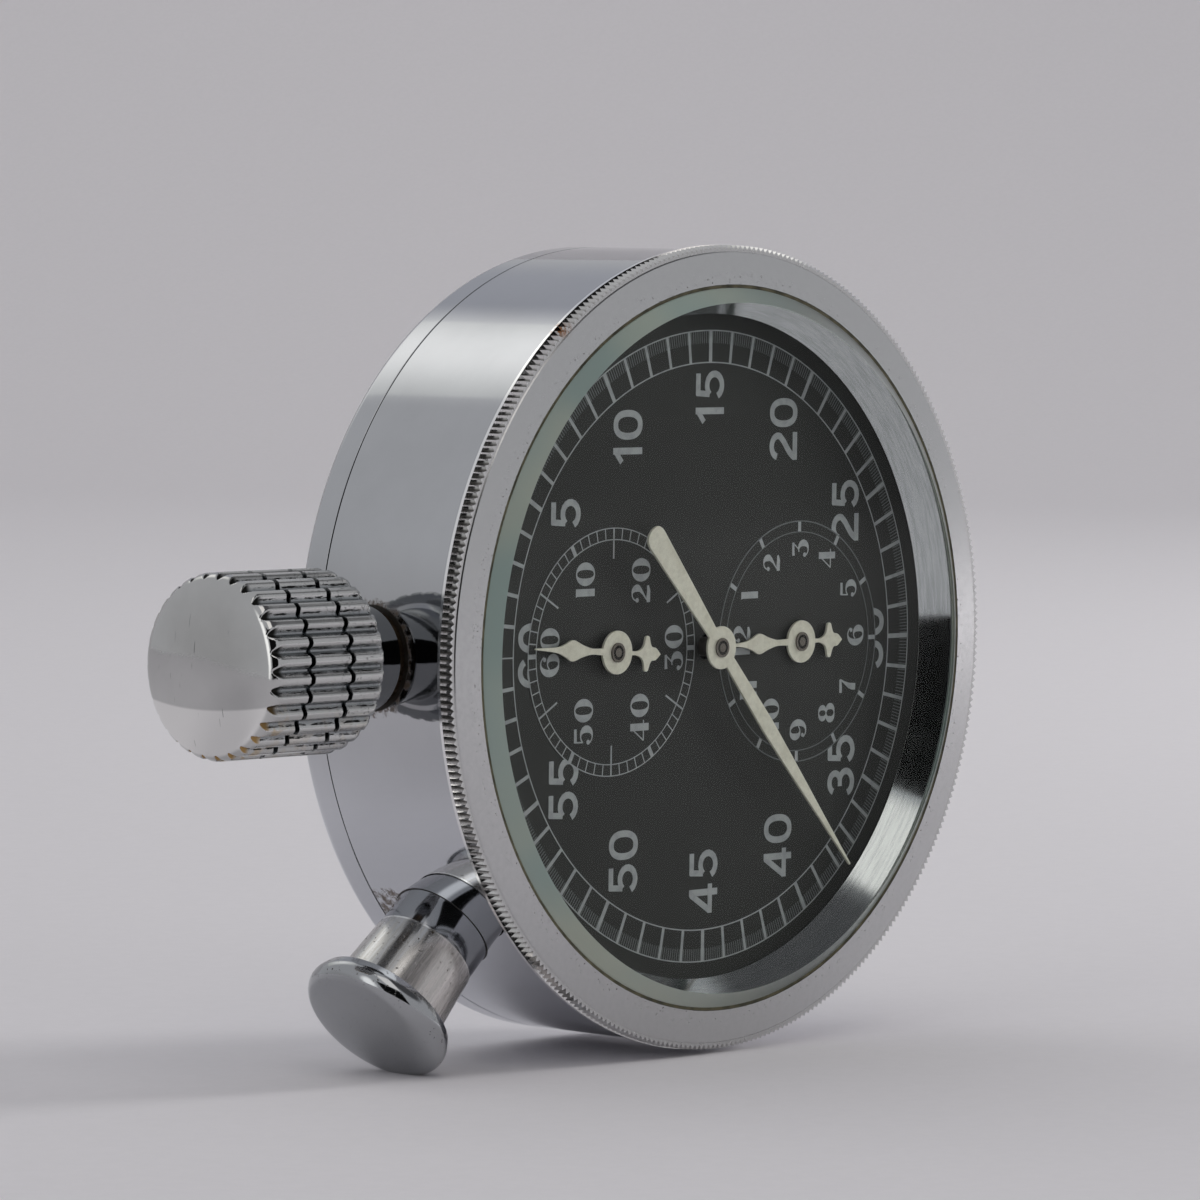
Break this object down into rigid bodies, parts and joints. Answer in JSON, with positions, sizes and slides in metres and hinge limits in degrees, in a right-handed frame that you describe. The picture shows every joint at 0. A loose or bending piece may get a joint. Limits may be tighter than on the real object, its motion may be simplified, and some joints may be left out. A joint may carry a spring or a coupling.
{
  "type": "dashboard stopwatch",
  "caption": "Round dashboard stopwatch: polished drum case, coin-edged bezel, fluted winding crown, mushroom pusher, black dial with two registers and three hands.",
  "frame": {"origin": "centre of the rear cover's flat back, on the axis of the case", "axes": "+Y out of the back, the dial faces -Y, the dial's 15-second mark points up +Z, the crown points to -X"},
  "size_m": [0.0742, 0.0164, 0.0583],
  "materials": {
    "chrome_case": "polished chrome plate",
    "glass": "clear, bevelled",
    "seal": "matt",
    "dial": "matt black",
    "hands": "ivory lacquer",
    "gilt": "gilt, frosted",
    "brass": "brushed",
    "steel": "polished",
    "blued": "blued",
    "jewel": "polished",
    "nickel": "nickelled",
    "dark_tube": "tarnished"
  },
  "bodies": {
    "case": {"case_band": "chrome_case", "rear_cover": "chrome_case", "bezel": "chrome_case", "crystal": "glass", "crystal_seal": "seal", "dial_surround": "chrome_case", "dial": "dial", "movement_ring": "nickel", "main_plate": "gilt", "train_bridge": "gilt", "barrel_bridge": "gilt", "balance_cock": "gilt", "pallet_cock": "gilt", "centre_pipe": "brass", "jewels": "jewel", "bridge_screws": "steel", "movement_clamps": "steel", "clamp_screws": "steel", "crown_tube": "dark_tube", "pusher_tube": "nickel", "hairspring": "blued", "pusher_spring": "steel"},
    "seconds": {"seconds_hand": "hands", "seconds_arbor": "steel", "seconds_pinion": "steel", "seconds_wheel": "brass", "seconds_heart": "steel"},
    "minutes": {"minute_hand": "hands", "minute_arbor": "steel", "minute_wheel": "brass", "great_pinion": "steel", "cannon_pinion": "steel", "minute_heart": "steel"},
    "hours": {"hour_hand": "hands", "hour_arbor": "steel", "hour_wheel": "brass", "hour_heart": "steel"},
    "motion_work": {"motion_wheel": "brass"},
    "third": {"third_arbor": "steel", "third_wheel": "brass"},
    "escape": {"escape_arbor": "steel", "escape_wheel": "steel"},
    "pallets": {"pallet_fork": "steel"},
    "balance": {"balance_wheel": "brass", "balance_staff": "steel"},
    "barrel": {"mainspring_barrel": "brass", "barrel_cover": "brass", "mainspring": "blued"},
    "ratchet": {"barrel_arbor": "steel", "ratchet_wheel": "steel"},
    "transmission": {"crown_wheel": "steel"},
    "click": {"click": "steel"},
    "winding": {"winding_pinion": "steel"},
    "crown": {"crown": "chrome_case", "winding_stem": "steel"},
    "starter": {"start_lever": "steel"},
    "brake": {"brake_lever": "steel"},
    "pusher": {"pusher_cap": "chrome_case", "pusher_stem": "steel"},
    "reset": {"reset_lever": "steel"}
  },
  "joints": [
    {"name": "seconds_turn", "type": "hinge", "parent": "case", "child": "seconds", "pos_m": [0, -0.00735, 0], "axis": [0, 1, 0], "continuous": true},
    {"name": "minutes_turn", "type": "hinge", "parent": "case", "child": "minutes", "pos_m": [-0.01016, -0.00735, 0], "axis": [0, 1, 0], "continuous": true},
    {"name": "hours_turn", "type": "hinge", "parent": "case", "child": "hours", "pos_m": [0.01016, -0.00735, 0], "axis": [0, 1, 0], "continuous": true},
    {"name": "motion_turn", "type": "hinge", "parent": "case", "child": "motion_work", "pos_m": [0, -0.00735, 0], "axis": [0, 1, 0], "continuous": true},
    {"name": "third_turn", "type": "hinge", "parent": "case", "child": "third", "pos_m": [-0.00515, -0.00735, 0.00913], "axis": [0, 1, 0], "continuous": true},
    {"name": "escape_turn", "type": "hinge", "parent": "case", "child": "escape", "pos_m": [0.00515, -0.00735, -0.00659], "axis": [0, 1, 0], "continuous": true},
    {"name": "pallet_rock", "type": "hinge", "parent": "case", "child": "pallets", "pos_m": [0.00905, -0.00735, -0.00517], "axis": [0, 1, 0], "range_deg": [-4, 4]},
    {"name": "balance_swing", "type": "hinge", "parent": "case", "child": "balance", "pos_m": [0.01488, -0.00735, -0.00305], "axis": [0, 1, 0], "range_deg": [-220, 220], "stiffness_Nm_per_rad": 0.000002},
    {"name": "barrel_turn", "type": "hinge", "parent": "case", "child": "barrel", "pos_m": [-0.00824, -0.00735, -0.01087], "axis": [0, 1, 0], "continuous": true},
    {"name": "ratchet_turn", "type": "hinge", "parent": "case", "child": "ratchet", "pos_m": [-0.00824, -0.00735, -0.01087], "axis": [0, 1, 0], "continuous": true},
    {"name": "transmission_turn", "type": "hinge", "parent": "case", "child": "transmission", "pos_m": [-0.0172, -0.00735, 0], "axis": [0, 1, 0], "continuous": true},
    {"name": "click_lift", "type": "hinge", "parent": "case", "child": "click", "pos_m": [-0.00081, -0.00735, -0.01884], "axis": [0, 1, 0], "range_deg": [0, 12], "stiffness_Nm_per_rad": 0.0002, "springref_deg": -11.46},
    {"name": "crown_turn", "type": "hinge", "parent": "case", "child": "winding", "pos_m": [0, -0.00735, 0], "axis": [-1, 0, 0], "continuous": true},
    {"name": "crown_press", "type": "slide", "parent": "winding", "child": "crown", "axis": [1, 0, 0], "range_m": [0, 0.0006], "stiffness_N_per_m": 3000, "springref_m": -0.001},
    {"name": "start_lever_turn", "type": "hinge", "parent": "case", "child": "starter", "pos_m": [-0.0216, -0.00735, 0.009], "axis": [0, 1, 0], "range_deg": [-4.44, 0]},
    {"name": "brake_lever_turn", "type": "hinge", "parent": "case", "child": "brake", "pos_m": [-0.0127, -0.00735, 0.01629], "axis": [0, 1, 0], "range_deg": [0, 2.86]},
    {"name": "pusher_press", "type": "slide", "parent": "case", "child": "pusher", "axis": [0.7373, 0, 0.6756], "range_m": [0, 0.0018], "stiffness_N_per_m": 2000, "springref_m": -0.002, "deforming": ["pusher_spring"]},
    {"name": "reset_lever_turn", "type": "hinge", "parent": "case", "child": "reset", "pos_m": [-0.02068, -0.00735, -0.00674], "axis": [0, 1, 0], "range_deg": [-11.47, 0]}
  ],
  "couplings": [
    {"joint": "third_turn", "follows": "seconds_turn", "ratio": -0.125},
    {"joint": "minutes_turn", "follows": "seconds_turn", "ratio": 0.016667},
    {"joint": "motion_turn", "follows": "seconds_turn", "ratio": -0.0055556},
    {"joint": "hours_turn", "follows": "seconds_turn", "ratio": 0.0013889},
    {"joint": "escape_turn", "follows": "seconds_turn", "ratio": -10},
    {"joint": "barrel_turn", "follows": "seconds_turn", "ratio": -0.0025},
    {"joint": "transmission_turn", "follows": "crown_turn", "ratio": -0.5},
    {"joint": "ratchet_turn", "follows": "crown_turn", "ratio": 0.25},
    {"joint": "start_lever_turn", "follows": "crown_press", "rad_per_m": -129.03},
    {"joint": "brake_lever_turn", "follows": "crown_press", "rad_per_m": 83},
    {"joint": "reset_lever_turn", "follows": "pusher_press", "rad_per_m": -111.11}
  ]
}
